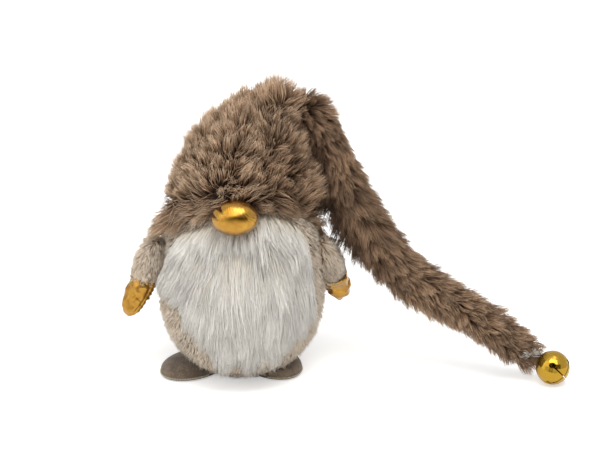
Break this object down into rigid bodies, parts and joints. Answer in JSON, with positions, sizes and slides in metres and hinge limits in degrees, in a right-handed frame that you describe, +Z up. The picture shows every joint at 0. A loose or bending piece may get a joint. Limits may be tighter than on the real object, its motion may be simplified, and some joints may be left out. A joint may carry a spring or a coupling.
{
  "type": "fur gnome ornament",
  "caption": "Weighted stuffed gnome with a round belly, long pile beard, ball nose, mitten hands, pad feet and a drooping fur hat that ends in a jingle bell.",
  "frame": {"origin": "centre of the flat base panel that the gnome stands on", "axes": "+Z up, -Y the way the gnome faces, +X to the right of someone who looks at its face"},
  "size_m": [0.2612, 0.1046, 0.1725],
  "materials": {
    "beige_plush": "short pile plush",
    "taupe_fur": "long wavy pile faux fur, dark at the root",
    "white_fur": "long straight pile faux fur",
    "gold_foil_cloth": "woven cloth with a crinkled gold foil face",
    "suede_felt": "brushed suede cloth",
    "fibre_fill": "loose polyester fibre",
    "cotton": "undyed cotton",
    "gold_plate": "bright gold plate on stamped metal",
    "steel": "plain ball"
  },
  "bodies": {
    "gnome": {"body_cover": "beige_plush", "base_panel": "suede_felt", "weight_bag": "cotton", "body_stuffing": "fibre_fill", "hat_crown": "taupe_fur", "hat_stuffing": "fibre_fill", "nose_cover": "gold_foil_cloth", "nose_stuffing": "fibre_fill"},
    "tail_upper": {"hat_tail_upper": "taupe_fur"},
    "tail_middle": {"hat_tail_middle": "taupe_fur"},
    "tail_lower": {"hat_tail_lower": "taupe_fur"},
    "tail_tip": {"hat_tail_tip": "taupe_fur", "bell_thread": "cotton"},
    "bell": {"bell_shell": "gold_plate", "bell_loop": "gold_plate"},
    "pellet": {"bell_pellet": "steel"},
    "beard": {"beard": "white_fur"},
    "arm_left": {"sleeve_left": "beige_plush", "mitten_left": "gold_foil_cloth", "arm_stuffing_left": "fibre_fill"},
    "arm_right": {"sleeve_right": "beige_plush", "mitten_right": "gold_foil_cloth", "arm_stuffing_right": "fibre_fill"},
    "foot_left": {"foot_upper_left": "suede_felt", "foot_sole_left": "suede_felt", "foot_padding_left": "fibre_fill"},
    "foot_right": {"foot_upper_right": "suede_felt", "foot_sole_right": "suede_felt", "foot_padding_right": "fibre_fill"}
  },
  "joints": [
    {"name": "tail_fold", "type": "hinge", "parent": "gnome", "child": "tail_upper", "pos_m": [0.042, 0, 0.154], "axis": [0, -1, 0], "range_deg": [0, 30]},
    {"name": "tail_middle_bend", "type": "hinge", "parent": "tail_upper", "child": "tail_middle", "pos_m": [0.06829, -0.0001, 0.09652], "axis": [-0.0498, -0.9988, 0], "range_deg": [0, 25]},
    {"name": "tail_lower_bend", "type": "hinge", "parent": "tail_middle", "child": "tail_lower", "pos_m": [0.09764, -0.00343, 0.05429], "axis": [-0.2015, -0.9795, 0], "range_deg": [0, 25]},
    {"name": "tail_tip_swing", "type": "hinge", "parent": "tail_lower", "child": "tail_tip", "pos_m": [0.13403, -0.01329, 0.03617], "axis": [0, 0, 1], "range_deg": [-25, 25]},
    {"name": "bell_swing", "type": "hinge", "parent": "tail_tip", "child": "bell", "pos_m": [0.17315, -0.01926, 0.01316], "axis": [0, 0, 1], "range_deg": [-25, 45]},
    {"name": "pellet_rattle", "type": "slide", "parent": "bell", "child": "pellet", "axis": [0, 0, 1], "range_m": [0, 0.012]},
    {"name": "beard_lift", "type": "hinge", "parent": "gnome", "child": "beard", "pos_m": [0, -0.0412, 0.0966], "axis": [-1, 0, 0], "range_deg": [0, 50]},
    {"name": "arm_left_swing", "type": "hinge", "parent": "gnome", "child": "arm_left", "pos_m": [-0.05, -0.005, 0.075], "axis": [-1, 0, 0], "range_deg": [-45, 80]},
    {"name": "arm_right_swing", "type": "hinge", "parent": "gnome", "child": "arm_right", "pos_m": [0.05, -0.004, 0.075], "axis": [-1, 0, 0], "range_deg": [-45, 80]},
    {"name": "foot_left_flex", "type": "hinge", "parent": "gnome", "child": "foot_left", "pos_m": [-0.01889, -0.00331, 0], "axis": [-0.1728, 0.985, 0], "range_deg": [0, 5]},
    {"name": "foot_right_flex", "type": "hinge", "parent": "gnome", "child": "foot_right", "pos_m": [0.01906, -0.00218, 0], "axis": [-0.1135, -0.9935, 0], "range_deg": [0, 5]}
  ]
}
